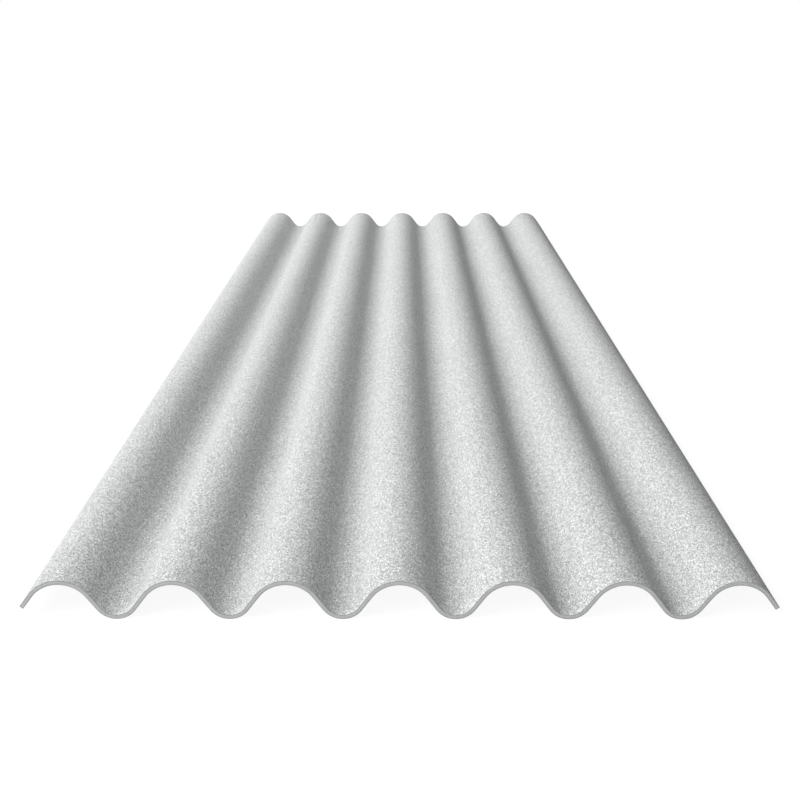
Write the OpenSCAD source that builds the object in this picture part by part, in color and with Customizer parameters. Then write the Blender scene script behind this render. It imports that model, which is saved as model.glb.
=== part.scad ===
// Corrugated fibre cement roofing sheet, pressed in one piece and cut square on
// all four sides.
// It lies flat: X runs across the waves and Y along them. The undersides of the
// valleys rest on z = 0, and the middle of the sheet is at x = 0 and y = 0.

/* [Sheet] */
// Length along the waves
sheet_length = 3050; // [900:10:3660]
// Thickness, the same all over
thickness = 6; // [4:0.5:8]
// Number of crests side by side
crests = 7; // [3:1:9]
// From an outer crest to the side edge, at mid-thickness
edge_run = 49.6; // [40:0.2:66]

/* [Waves] */
// Distance from one crest to the next
pitch = 146; // [140:1:150]
// Height that the sheet rises from a valley to a crest
wave_depth = 48; // [44:1:52]
// Length of the straight flank between a crest's arc and a valley's
flank = 23; // [16:1:30]
// Radius of the valleys, at mid-thickness
valley_r = 28; // [22:1:34]

/* [Hidden] */

// Facets of a full circle, where the arcs are drawn as a mesh.
arc_facets = 180;

// How deep the ends of a straight flank reach into the arcs that it joins. Its line
// then crosses them a little before the point where it would only touch them.
bite = 0.02;

// How far a solid that is cut away reaches past what it is cut from.
overshoot = thickness;

// The middle line of the sheet goes from a crest's arc down a straight flank into a
// valley's arc, and the flank is tangent to both. Over half a pitch it covers
//   half_pitch = radii * sin(slope) + flank * cos(slope)
//   wave_depth = radii * (1 - cos(slope)) + flank * sin(slope)
// and these give the sum of the two radii and the slope of the flank.
half_pitch = pitch / 2;
radii = (pow(wave_depth, 2) + pow(half_pitch, 2) - pow(flank, 2)) / (2 * wave_depth);
slope = atan2(wave_depth - radii, half_pitch) + atan2(radii, flank);
crest_r = radii - valley_r;

// Heights of the arcs' centres.
crest_z = thickness / 2 + wave_depth - crest_r;
valley_z = thickness / 2 + valley_r;

// Where the flank starts and ends, going out from a crest.
flank_start = crest_r * sin(slope);
flank_end = half_pitch - valley_r * sin(slope);

// Slope and height of the middle line at x from a crest, up to the next valley.
function slope_at(x) =
    x < flank_start ? asin(x / crest_r) :
    x < flank_end ? slope :
    asin((half_pitch - x) / valley_r);

function height_at(x) =
    x < flank_start ? crest_z + crest_r * cos(slope_at(x)) :
    x < flank_end ? crest_z + crest_r * cos(slope) - (x - flank_start) * tan(slope) :
    valley_z - valley_r * cos(slope_at(x));

// A bar that runs along the waves, with its section drawn across them.
module bar(length) {
    rotate([90, 0, 0])
        linear_extrude(height = length, center = true)
            children();
}

// Everything below one face of the sheet, which lies this far above the middle line.
// A slab under the whole sheet carries a ridge for each crest, made of the two
// flanks' trapezium and the crest's round bar. The valleys' round bars are cut out.
module below_face(above, length) {
    crest_face_r = crest_r + above;
    valley_face_r = valley_r - above;
    to_flank = [sin(slope), cos(slope)];
    flank_top = [0, crest_z] + (crest_face_r - bite) * to_flank;
    flank_foot = [half_pitch, valley_z] - (valley_face_r - bite) * to_flank;
    slab_bottom = above - 2 * crest_r;
    slab_half_width = crests * half_pitch + overshoot - above;
    right_side = [flank_top, flank_foot, [flank_foot.x, slab_bottom / 2]];
    left_side = [for (i = [2 : -1 : 0]) [-right_side[i].x, right_side[i].y]];
    difference() {
        union() {
            bar(length)
                translate([-slab_half_width, slab_bottom])
                    square([2 * slab_half_width, flank_foot.y - slab_bottom]);
            for (crest = [1 : crests])
                translate([(crest - (crests + 1) / 2) * pitch, 0, 0]) {
                    bar(length)
                        polygon(concat(right_side, left_side));
                    bar(length)
                        translate([0, crest_z])
                            circle(r = crest_face_r, $fn = arc_facets);
                }
        }
        for (valley = [0 : crests])
            bar(length + 2 * overshoot)
                translate([(valley - crests / 2) * pitch, valley_z])
                    circle(r = valley_face_r, $fn = arc_facets);
    }
}

// What is cut off beyond the side edge at +X, square to the sheet's surface.
module beyond_edge(length) {
    bar(length)
        translate([(crests - 1) * half_pitch + edge_run, height_at(edge_run)])
            rotate(-slope_at(edge_run))
                translate([0, -pitch])
                    square(2 * pitch);
}

module corrugated_sheet() {
    cut_length = sheet_length + 2 * overshoot;
    color("lightgray")
        difference() {
            below_face(thickness / 2, sheet_length);
            below_face(-thickness / 2, cut_length);
            for (side = [0, 1])
                mirror([side, 0, 0])
                    beyond_edge(cut_length);
        }
}

corrugated_sheet();
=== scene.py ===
"""The looks of a corrugated fibre cement sheet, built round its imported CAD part.

The sheet lies flat on a pale floor: X runs across the waves, Y along them and Z up,
and everything is in metres. One closed mesh stands for the CAD sheet. It has the same
section, with slightly worn arrises, and a finish for each kind of face: the speckled
top, the underside with the imprint of its felt, and the sawn edges with thin layers.
"""
from math import atan2, copysign, cos, pi, radians, sin

import bpy
from mathutils import Euler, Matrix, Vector, noise


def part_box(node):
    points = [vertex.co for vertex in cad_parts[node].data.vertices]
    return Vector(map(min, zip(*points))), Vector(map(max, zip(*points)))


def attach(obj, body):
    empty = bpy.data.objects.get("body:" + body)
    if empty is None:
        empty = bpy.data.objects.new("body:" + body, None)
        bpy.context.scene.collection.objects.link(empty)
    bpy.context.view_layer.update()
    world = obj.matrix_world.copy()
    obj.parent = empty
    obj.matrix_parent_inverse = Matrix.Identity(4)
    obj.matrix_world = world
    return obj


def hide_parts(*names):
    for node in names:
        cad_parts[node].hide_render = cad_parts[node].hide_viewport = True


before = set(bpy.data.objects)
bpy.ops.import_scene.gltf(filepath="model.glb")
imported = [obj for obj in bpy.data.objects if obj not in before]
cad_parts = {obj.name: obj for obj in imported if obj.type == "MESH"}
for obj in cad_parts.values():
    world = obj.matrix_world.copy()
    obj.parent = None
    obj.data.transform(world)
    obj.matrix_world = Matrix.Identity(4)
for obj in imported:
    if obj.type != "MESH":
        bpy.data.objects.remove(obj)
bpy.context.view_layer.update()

NODE = "corrugated_sheet"

# The section across the waves, measured on the sheet's middle line.
CRESTS = 7
PITCH = 0.146
WAVE_DEPTH = 0.048
FLANK = 0.023
VALLEY_R = 0.028
EDGE_RUN = 0.0496

# What follows from it, where the flanks are tangent to the arcs: the sum of the two
# radii, the flanks' slope, and lengths along the middle line from a crest.
RADII = (WAVE_DEPTH**2 + (PITCH / 2) ** 2 - FLANK**2) / (2 * WAVE_DEPTH)
SLOPE = atan2(WAVE_DEPTH - RADII, PITCH / 2) + atan2(RADII, FLANK)
CREST_R = RADII - VALLEY_R
CREST_ARC = CREST_R * SLOPE
HALF_WAVE = CREST_ARC + FLANK + VALLEY_R * SLOPE
EDGE_ARC = CREST_ARC + (EDGE_RUN - CREST_R * sin(SLOPE)) / cos(SLOPE)
HALF_RUN = (CRESTS - 1) * HALF_WAVE + EDGE_ARC

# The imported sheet's box gives its length and thickness.
BOX_LOW, BOX_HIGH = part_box(NODE)
HALF_LENGTH = (BOX_HIGH.y - BOX_LOW.y) / 2
HALF_THICK = (BOX_HIGH.z - BOX_LOW.z - WAVE_DEPTH) / 2
VALLEY_HEIGHT = BOX_LOW.z + HALF_THICK

# The mesh: its steps along the section and along the sheet, closer near the edges.
STEP = 0.003
ROW_STEP = 0.06
FINEST_STEP = 0.001

# The arrises are rounded off a little, in this many turns. At the two ends they go in by
# only this share of the radius, which keeps the corners from closing up.
ARRIS_R = 0.00022
ARRIS_TURNS = 3
END_SHARE = 0.8

# The saw wandered by up to this much, in swings of about this length, and the mesh is
# drawn back over this reach. Each sawn edge has its own row in the noise, half a cell
# away from the noise's zeros.
SAW_WANDER = 0.0004
WANDER_GRAIN = 0.015
WANDER_REACH = 0.003
SIDE_NOISE = 3
END_NOISE = 9
NOISE_LEVEL = 0.5

# The finishes' places in the mesh's list of materials.
TOP, BELOW, CUT = 0, 1, 2

# Colours, as linear red, green and blue.
CEMENT = (0.618, 0.631, 0.6255)
UNDERSIDE = (0.540, 0.552, 0.545)
SAWN = (0.526, 0.537, 0.532)
FLOOR = (0.8, 0.8, 0.8)
WHITE = (1.0, 1.0, 1.0, 1.0)

# All three finishes are dry and dull. Only the top is a touch smoother.
TOP_ROUGHNESS = 0.86
ROUGHNESS = 0.9
GLOSS = 0.2

# The top's speckle: grains in two sizes, dust, and broader shades. Each has its size
# across the waves, along them and through the thickness, and its strength. Near the sawn
# edges the top is a little lighter, as a painted highlight, and it has pores.
FINE_GRAIN, FINE_SWING = (0.0008, 0.0017, 0.0008), 0.46
GRAIN, GRAIN_SWING = (0.0013, 0.0027, 0.0013), 0.31
GRAIN_SOFTNESS = 0.5
DUST, DUST_SWING = (0.0006, 0.0010, 0.0006), 0.30
PATCH, PATCH_SWING = (0.003, 0.006, 0.003), 0.10
SHADE, SHADE_SWING = (0.09, 0.2, 0.09), 0.05
STREAK, STREAK_SWING = (0.012, 0.8, 0.012), 0.03
# A painted highlight along the sawn edges: how far it reaches and how much lighter it is.
HIGHLIGHT_REACH, EDGE_HIGHLIGHT = 0.004, 0.06
PORE, PORE_DEPTH = (0.0015, 0.0020, 0.0015), 0.0008

# The underside: its grains, its stains, and the felt's threads and how they wander.
LOWER_GRAIN, LOWER_SWING = (0.0014, 0.0024, 0.0014), 0.18
STAIN, STAIN_SWING = (0.06, 0.12, 0.06), 0.12
THREAD = 0.0025
THREAD_FUZZ = (0.0016, 0.0016, 0.0016)
THREAD_RELIEF = 0.35
SLACK, SLACK_TURNS = (0.03, 0.03, 0.03), 5.0
WEAVE_SWING, WEAVE_DEPTH = 0.05, 0.0005

# The sawn cement: painted shade that starts and is full at these shares of the way to a
# face, the pressed layers, and the grain and pits that the saw laid bare.
RIM_SHADE_START, RIM_SHADE_FULL, RIM_SHADE_LEVEL = 0.5, 0.9, 0.58
LAYER, LAYER_SWING = (0.02, 0.02, 0.0005), 0.22
CUT_GRAIN, CUT_GRAIN_SWING = (0.0007, 0.0007, 0.0004), 0.16
CRUMB, CRUMB_SWING = (0.0018, 0.0018, 0.0009), 0.25
PIT, PIT_DEPTH = (0.0009, 0.0009, 0.0005), 0.0003

# The camera stands before the near end and looks down on the sheet.
CAMERA_AT = (0.0048, -3.0019, 0.754)
CAMERA_TILT = 72.791
CAMERA_TURN = 0.149
SENSOR = 36.0
LENS = 56.92

# A broad soft light from the left and the front, a long softbox high above the left
# edge, and an even fill. A surface that faces a light of level 1 shows its colour as it
# is written. The key light's three angles are in degrees: how far it stands left of
# straight above, how far to the front, and how wide it looks.
KEY_LEFT = 52.0
KEY_FRONT = 22.0
KEY_WIDTH = 50.0
KEY_LEVEL = 0.75
SOFTBOX_AT = (-0.65, -0.5, 1.14)
SOFTBOX_WIDTH = 0.3
SOFTBOX_LENGTH = 12.0
SOFTBOX_GLOW = 3.5
FILL_LEVEL = 0.18

# The floor that the camera sees is mostly its own white, and keeps a pale shadow.
FLOOR_SIZE = 80.0
FLOOR_GLOW = 0.925
FLOOR_SEEN = (0.16, 0.16, 0.16)


# ---- The sheet's mesh ------------------------------------------------------------


def wave_point(run):
    """The middle line this far along it from a crest: distance out, height, slope."""
    if run < CREST_ARC:
        angle = run / CREST_R
        return CREST_R * sin(angle), WAVE_DEPTH - CREST_R * (1 - cos(angle)), angle
    if run < CREST_ARC + FLANK:
        down = run - CREST_ARC
        foot = WAVE_DEPTH - CREST_R * (1 - cos(SLOPE)) - down * sin(SLOPE)
        return CREST_R * sin(SLOPE) + down * cos(SLOPE), foot, SLOPE
    angle = (HALF_WAVE - run) / VALLEY_R
    return PITCH / 2 - VALLEY_R * sin(angle), VALLEY_R * (1 - cos(angle)), angle


def section_point(run):
    """The middle line this far along it from the sheet's middle: x, z, slope."""
    crest = round(run / (2 * HALF_WAVE))
    from_crest = run - crest * 2 * HALF_WAVE
    out, height, slope = wave_point(abs(from_crest))
    turn = copysign(1, from_crest)
    return crest * PITCH + turn * out, VALLEY_HEIGHT + height, turn * slope


def steps_to_edge(edge, step):
    """Places from 0 to edge, a step apart and closer near the edge."""
    near = [edge]
    gap = FINEST_STEP
    while gap < step:
        near.append(near[-1] - gap)
        gap *= 2
    count = round(near[-1] / step)
    return [near[-1] * i / count for i in range(count)] + near[::-1]


def both_sides(half):
    """The same places on the negative side too. Those at 0 aren't doubled."""
    return [(-place, -turn) for place, turn in reversed(half[1:])] + half


def arris_turns():
    """The angles that round off an arris, after its start."""
    return [pi / 2 * (turn + 1) / ARRIS_TURNS for turn in range(ARRIS_TURNS)]


def section_places():
    """Each place round one face of the section, as its run and its turn on an arris."""
    flat = [(run, 0.0) for run in steps_to_edge(HALF_RUN - ARRIS_R, STEP)]
    return both_sides(flat + [(HALF_RUN - ARRIS_R, turn) for turn in arris_turns()])


def rows_along():
    """Each row of the mesh along the sheet, as its y and its turn on the end's arris."""
    flat = [(y, 0.0) for y in steps_to_edge(HALF_LENGTH - ARRIS_R, ROW_STEP)]
    return both_sides(flat + [(HALF_LENGTH - ARRIS_R, turn) for turn in arris_turns()])


def sawn_back(from_edge, along, cut):
    """How far short of the true edge a point lies, where the saw wandered."""
    near = max(0.0, 1 - from_edge / WANDER_REACH)
    swing = noise.noise(Vector((along / WANDER_GRAIN, cut, NOISE_LEVEL)))
    return near * SAW_WANDER * (1 + swing) / 2


def surface_point(place, row, face):
    """A point of the sheet's surface: where it is, and the same point unrolled."""
    (run, turn), (y, end_turn) = place, row
    inset = END_SHARE * ARRIS_R * (1 - cos(end_turn))
    run += (ARRIS_R - inset) * sin(turn)
    y += ARRIS_R * sin(end_turn)
    depth = face * (HALF_THICK - ARRIS_R + (ARRIS_R - inset) * cos(turn))
    side, end = copysign(1, run), copysign(1, y)
    short = sawn_back(HALF_RUN - abs(run), y, SIDE_NOISE + side)
    y -= end * sawn_back(HALF_LENGTH - abs(y), run, END_NOISE + end)
    run -= side * short
    x, z, slope = section_point(run)
    return (x + depth * sin(slope), y, z + depth * cos(slope)), (run, y, depth)


def sheet_faces(places, rows):
    """The mesh's faces and, for each, the number of its material."""
    width, ring = len(places), 2 * len(places)
    faces, finishes = [], []
    for row in range(len(rows) - 1):
        worn_row = rows[row][1] != 0 or rows[row + 1][1] != 0
        for i in range(ring):
            after = (i + 1) % ring
            ends = [k if k < width else ring - 1 - k for k in (i, after)]
            worn = worn_row or any(places[k][1] != 0 for k in ends)
            start, top = row * ring, (row + 1) * ring
            faces.append((start + i, start + after, top + after, top + i))
            finishes.append(CUT if worn else TOP if i < width else BELOW)
    last = (len(rows) - 1) * ring
    for i in range(width - 1):
        below, next_below = ring - 1 - i, ring - 2 - i
        faces.append((i, below, next_below, i + 1))
        faces.append((last + i, last + i + 1, last + next_below, last + below))
        finishes += [CUT, CUT]
    return faces, finishes


def sheet():
    """The whole sheet as one closed mesh, with its unrolled coordinates."""
    places, rows = section_places(), rows_along()
    ring = [(place, 1) for place in places] + [(place, -1) for place in reversed(places)]
    points = [surface_point(place, row, face) for row in rows for place, face in ring]
    faces, finishes = sheet_faces(places, rows)
    mesh = bpy.data.meshes.new("fibre_cement_sheet")
    mesh.from_pydata([point for point, _ in points], [], faces)
    unrolled = mesh.attributes.new("unrolled", "FLOAT_VECTOR", "POINT")
    unrolled.data.foreach_set("vector", [c for _, flat in points for c in flat])
    to_edge = mesh.attributes.new("to_edge", "FLOAT", "POINT")
    to_edge.data.foreach_set(
        "value",
        [min(HALF_RUN - abs(run), HALF_LENGTH - abs(y)) for _, (run, y, _) in points],
    )
    for finish in (cement_top(), cement_underside(), sawn_edge()):
        mesh.materials.append(finish)
    mesh.polygons.foreach_set("material_index", finishes)
    mesh.polygons.foreach_set("use_smooth", [True] * len(faces))
    mesh.validate()
    piece = bpy.data.objects.new("fibre_cement_sheet", mesh)
    bpy.context.scene.collection.objects.link(piece)
    return piece


# ---- Finishes --------------------------------------------------------------------


def add(tree, kind, inputs=None, **settings):
    """A shader node with these settings, its inputs set to values or linked."""
    made = tree.nodes.new(kind)
    for name, value in settings.items():
        setattr(made, name, value)
    for name, value in (inputs or {}).items():
        if isinstance(value, bpy.types.NodeSocket):
            tree.links.new(value, made.inputs[name])
        else:
            made.inputs[name].default_value = value
    return made


def maths(tree, operation, *values):
    """The result of a Math node on numbers or sockets."""
    inputs = dict(enumerate(values))
    return add(tree, "ShaderNodeMath", inputs, operation=operation).outputs[0]


def new_finish(name, roughness):
    """A material with one Principled shader: the material, its tree and the shader."""
    made = bpy.data.materials.new(name)
    made.use_nodes = True
    shader = made.node_tree.nodes["Principled BSDF"]
    shader.inputs["Roughness"].default_value = roughness
    shader.inputs["Specular IOR Level"].default_value = GLOSS
    return made, made.node_tree, shader


def unrolled_over(tree, size):
    """The unrolled coordinates, counted in steps of this size: along the section,
    along the sheet and through its thickness."""
    place = add(tree, "ShaderNodeAttribute", attribute_name="unrolled").outputs["Vector"]
    scale = tuple(1 / s for s in size)
    inputs = {0: place, 1: scale}
    return add(tree, "ShaderNodeVectorMath", inputs, operation="MULTIPLY").outputs[0]


def clouds(tree, size, detail, roughness=0.5):
    """Smooth random values about 0.5 with blobs of about this size."""
    inputs = {
        "Vector": unrolled_over(tree, size),
        "Scale": 1.0,
        "Detail": detail,
        "Roughness": roughness,
    }
    return add(tree, "ShaderNodeTexNoise", inputs).outputs["Fac"]


def grains(tree, size):
    """A random value from 0 to 1 for each grain of about this size, softly joined."""
    place = unrolled_over(tree, size)
    inputs = {"Vector": place, "Scale": 1.0, "Smoothness": GRAIN_SOFTNESS}
    cells = add(tree, "ShaderNodeTexVoronoi", inputs, feature="SMOOTH_F1").outputs["Color"]
    return add(tree, "ShaderNodeSeparateColor", {"Color": cells}).outputs["Red"]


def eased(tree, value, low, high, at_low, at_high):
    """A value mapped from low...high to at_low...at_high and held beyond them."""
    inputs = {
        "Value": value,
        "From Min": low,
        "From Max": high,
        "To Min": at_low,
        "To Max": at_high,
    }
    return add(tree, "ShaderNodeMapRange", inputs).outputs[0]


def about_one(tree, value, swing):
    """Turns values about 0.5 into factors about 1, from 1 - swing to 1 + swing."""
    return maths(tree, "MULTIPLY_ADD", value, 2 * swing, 1 - swing)


def tinted(tree, colour, factors):
    """A colour multiplied by each of the factors."""
    product = factors[0]
    for factor in factors[1:]:
        product = maths(tree, "MULTIPLY", product, factor)
    inputs = {0: colour, "Scale": product}
    return add(tree, "ShaderNodeVectorMath", inputs, operation="SCALE").outputs[0]


def bump(tree, height, distance):
    """A bump of this height in metres where the value goes from 0 to 1."""
    inputs = {"Height": height, "Distance": distance}
    return add(tree, "ShaderNodeBump", inputs).outputs["Normal"]


def near_edge(tree, reach):
    """1 at the sawn edges, fading to 0 at this distance from them."""
    distance = add(tree, "ShaderNodeAttribute", attribute_name="to_edge").outputs["Fac"]
    return eased(tree, distance, 0.0, reach, 1.0, 0.0)


def cement_top():
    """Pale cement with a fine salt-and-pepper speckle and shallow pores."""
    made, tree, shader = new_finish("cement_top", TOP_ROUGHNESS)
    factors = [
        about_one(tree, grains(tree, FINE_GRAIN), FINE_SWING),
        about_one(tree, grains(tree, GRAIN), GRAIN_SWING),
        about_one(tree, clouds(tree, DUST, detail=2.0, roughness=0.6), DUST_SWING),
        about_one(tree, clouds(tree, PATCH, detail=1.0), PATCH_SWING),
        about_one(tree, clouds(tree, SHADE, detail=3.0), SHADE_SWING),
        about_one(tree, clouds(tree, STREAK, detail=1.0), STREAK_SWING),
        # Painted highlight: the top is a little lighter near the sawn edges.
        maths(tree, "MULTIPLY_ADD", near_edge(tree, HIGHLIGHT_REACH), EDGE_HIGHLIGHT, 1.0),
    ]
    pores = clouds(tree, PORE, detail=1.0)
    tree.links.new(tinted(tree, CEMENT, factors), shader.inputs["Base Color"])
    tree.links.new(bump(tree, pores, PORE_DEPTH), shader.inputs["Normal"])
    return made


def cement_underside():
    """Duller cement with the weave of the felt that it was formed on."""
    made, tree, shader = new_finish("cement_underside", ROUGHNESS)
    factors = [
        about_one(tree, grains(tree, LOWER_GRAIN), LOWER_SWING),
        about_one(tree, clouds(tree, STAIN, detail=4.0), STAIN_SWING),
        about_one(tree, felt_weave(tree), WEAVE_SWING),
    ]
    tree.links.new(tinted(tree, UNDERSIDE, factors), shader.inputs["Base Color"])
    tree.links.new(bump(tree, felt_weave(tree), WEAVE_DEPTH), shader.inputs["Normal"])
    return made


def felt_weave(tree):
    """Crossing threads, uneven as a worn felt's are."""
    place = unrolled_over(tree, (THREAD, THREAD, THREAD))
    apart = add(tree, "ShaderNodeSeparateXYZ", {0: place}).outputs
    wander = maths(tree, "MULTIPLY", clouds(tree, SLACK, detail=2.0), SLACK_TURNS)
    waves = [
        maths(tree, "SINE", maths(tree, "MULTIPLY_ADD", apart[axis], 2 * pi, wander))
        for axis in (0, 1)
    ]
    woven = maths(tree, "MULTIPLY", waves[0], waves[1])
    fuzz = clouds(tree, THREAD_FUZZ, detail=2.0)
    return maths(tree, "MULTIPLY_ADD", woven, THREAD_RELIEF, fuzz)


def sawn_edge():
    """The sawn cement: thin layers pressed together, with painted shade towards both
    faces.
    """
    made, tree, shader = new_finish("sawn_edge", ROUGHNESS)
    place = add(tree, "ShaderNodeAttribute", attribute_name="unrolled").outputs["Vector"]
    off_middle = add(tree, "ShaderNodeSeparateXYZ", {0: place}).outputs[2]
    depth = maths(tree, "ABSOLUTE", off_middle)
    start, full = RIM_SHADE_START * HALF_THICK, RIM_SHADE_FULL * HALF_THICK
    factors = [
        # Painted shade: darker towards both faces and over the rounded arrises.
        eased(tree, depth, start, full, 1.0, RIM_SHADE_LEVEL),
        about_one(tree, clouds(tree, LAYER, detail=2.0), LAYER_SWING),
        about_one(tree, grains(tree, CUT_GRAIN), CUT_GRAIN_SWING),
        about_one(tree, clouds(tree, CRUMB, detail=2.0), CRUMB_SWING),
    ]
    tree.links.new(tinted(tree, SAWN, factors), shader.inputs["Base Color"])
    pits = clouds(tree, PIT, detail=2.0)
    tree.links.new(bump(tree, pits, PIT_DEPTH), shader.inputs["Normal"])
    return made


# ---- The scene round it ------------------------------------------------------------


def seen_directly(tree):
    """1 for the rays that show the background itself, mirrored or through glass."""
    path = add(tree, "ShaderNodeLightPath").outputs
    shown = maths(tree, "MAXIMUM", path["Is Camera Ray"], path["Is Glossy Ray"])
    return maths(tree, "MAXIMUM", shown, path["Is Transmission Ray"])


def floor_finish():
    """A pale floor that shows white, with the object's shadow, and bounces light."""
    made = bpy.data.materials.new("floor")
    made.use_nodes = True
    tree = made.node_tree
    tree.nodes.clear()
    bounced = add(tree, "ShaderNodeBsdfDiffuse", {"Color": (*FLOOR, 1.0)}).outputs[0]
    own = add(tree, "ShaderNodeBsdfDiffuse", {"Color": (*FLOOR_SEEN, 1.0)}).outputs[0]
    glow = add(tree, "ShaderNodeEmission", {"Strength": FLOOR_GLOW}).outputs[0]
    shown = add(tree, "ShaderNodeAddShader", {0: own, 1: glow}).outputs[0]
    inputs = {0: seen_directly(tree), 1: bounced, 2: shown}
    mixed = add(tree, "ShaderNodeMixShader", inputs).outputs[0]
    add(tree, "ShaderNodeOutputMaterial", {"Surface": mixed})
    return made


def floor():
    """A large flat floor at the height that the sheet rests on."""
    half = FLOOR_SIZE / 2
    outline = [(-half, -half, 0), (half, -half, 0), (half, half, 0), (-half, half, 0)]
    mesh = bpy.data.meshes.new("floor")
    mesh.from_pydata(outline, [], [(0, 1, 2, 3)])
    mesh.materials.append(floor_finish())
    made = bpy.data.objects.new("floor", mesh)
    bpy.context.scene.collection.objects.link(made)
    return made


def surroundings():
    """A dim even fill, which the camera sees as white."""
    world = bpy.data.worlds.new("surroundings")
    world.use_nodes = True
    tree = world.node_tree
    tree.nodes.clear()
    fill, white = (
        add(tree, "ShaderNodeBackground", {"Color": WHITE, "Strength": level}).outputs[0]
        for level in (FILL_LEVEL, 1.0)
    )
    inputs = {0: seen_directly(tree), 1: fill, 2: white}
    mixed = add(tree, "ShaderNodeMixShader", inputs).outputs[0]
    add(tree, "ShaderNodeOutputWorld", {"Surface": mixed})
    bpy.context.scene.world = world


def key_light():
    """A broad soft light from the left and the front."""
    lamp = bpy.data.lights.new("key", "SUN")
    lamp.energy = pi * KEY_LEVEL
    lamp.angle = radians(KEY_WIDTH)
    left, front = radians(KEY_LEFT), radians(KEY_FRONT)
    towards = Vector((-sin(left) * cos(front), -sin(front), cos(left) * cos(front)))
    made = bpy.data.objects.new("key", lamp)
    made.rotation_euler = towards.to_track_quat("Z", "Y").to_euler()
    bpy.context.scene.collection.objects.link(made)


def softbox():
    """A long softbox high above the left edge, facing the sheet's middle line."""
    lamp = bpy.data.lights.new("softbox", "AREA")
    lamp.shape = "RECTANGLE"
    lamp.size, lamp.size_y = SOFTBOX_WIDTH, SOFTBOX_LENGTH
    lamp.energy = pi * SOFTBOX_GLOW * SOFTBOX_WIDTH * SOFTBOX_LENGTH
    made = bpy.data.objects.new("softbox", lamp)
    made.location = SOFTBOX_AT
    made.rotation_euler = (0, atan2(SOFTBOX_AT[0], SOFTBOX_AT[2]), 0)
    made.visible_camera = False
    made.visible_glossy = False
    bpy.context.scene.collection.objects.link(made)


def camera():
    """The camera, before the near end and looking down along the waves."""
    eye = bpy.data.cameras.new("camera")
    eye.sensor_width, eye.lens = SENSOR, LENS
    made = bpy.data.objects.new("camera", eye)
    made.location = CAMERA_AT
    made.rotation_euler = Euler((radians(CAMERA_TILT), 0, radians(CAMERA_TURN)))
    bpy.context.scene.collection.objects.link(made)
    bpy.context.scene.camera = made


piece = sheet()
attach(piece, "root")
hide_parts(NODE)
floor()
surroundings()
key_light()
softbox()
camera()
bpy.context.scene.view_settings.view_transform = "Standard"
